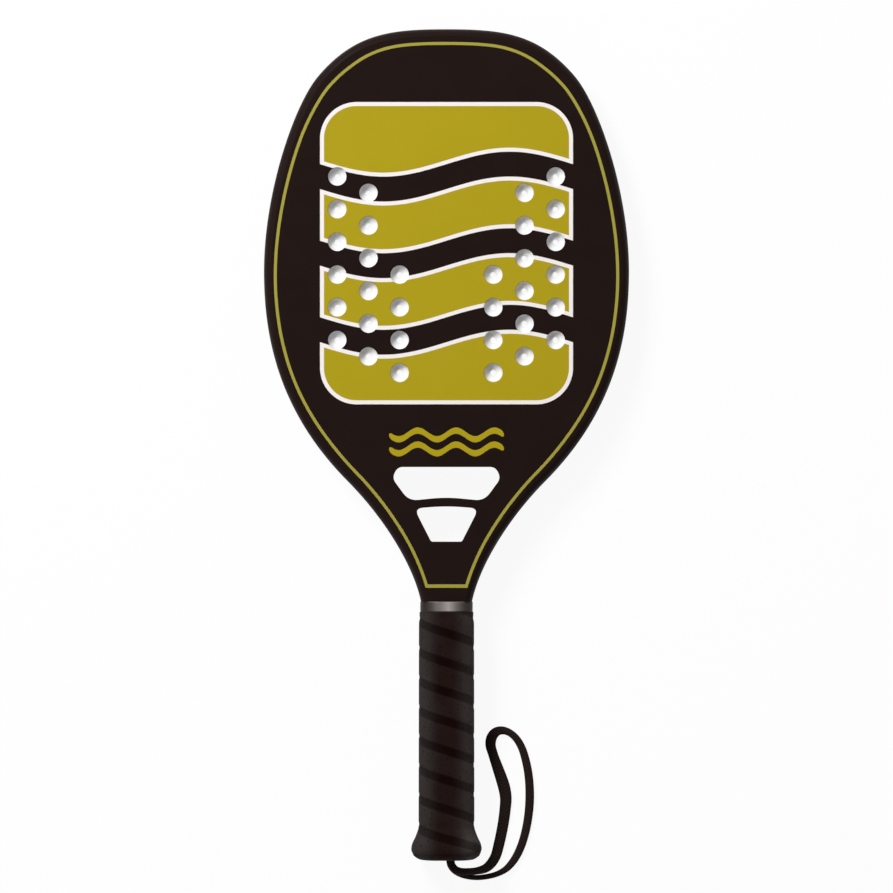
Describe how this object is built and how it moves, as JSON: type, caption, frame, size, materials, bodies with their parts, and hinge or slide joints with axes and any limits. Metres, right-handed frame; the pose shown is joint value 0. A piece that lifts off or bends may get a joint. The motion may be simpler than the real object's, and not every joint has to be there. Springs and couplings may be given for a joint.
{
  "type": "beach tennis racket",
  "caption": "Beach tennis racket with a drilled foam-core head, an open two-window throat, a spirally wound handle with a flared butt, and a loose wrist strap.",
  "frame": {"origin": "under the middle of the racket's length and width, level with the lowest line of the flared butt as the racket lies face up", "axes": "+Y from the butt to the tip of the head, +Z out of the front face, +X to the right as the front face is seen with the head up"},
  "size_m": [0.2196, 0.513, 0.0368],
  "materials": {
    "paint": "black paint over moulded laminate, satin gloss",
    "laminate": "bare fibre laminate",
    "foam": "pale closed-cell foam",
    "shell": "rigid foamed plastic",
    "plastic": "moulded, satin",
    "steel": "plain",
    "collar": "fine brushed lines round the ring",
    "underlay": "thin dark foam sleeve",
    "tape": "soft perforated grip tape, matt",
    "strap": "woven cord"
  },
  "bodies": {
    "root": {"frame_hoop": "paint", "core_foam": "foam", "face_front": "paint", "face_back": "paint", "window_liner_upper": "laminate", "window_liner_lower": "laminate", "throat_bridge": "laminate", "throat_foam_upper": "foam", "throat_foam_lower": "foam", "handle_core": "shell", "handle_pallet_front": "shell", "handle_pallet_back": "shell", "butt_cap": "plastic", "butt_cap_tack_front": "steel", "butt_cap_tack_back": "steel", "strap_eyelet": "steel", "strap_knot": "strap", "strap_tail_upper": "strap", "strap_tail_lower": "strap", "wrist_strap": "strap", "grip_underlay": "underlay", "grip_tape": "tape", "grip_end_tape": "underlay", "grip_collar": "collar"}
  },
  "joints": []
}
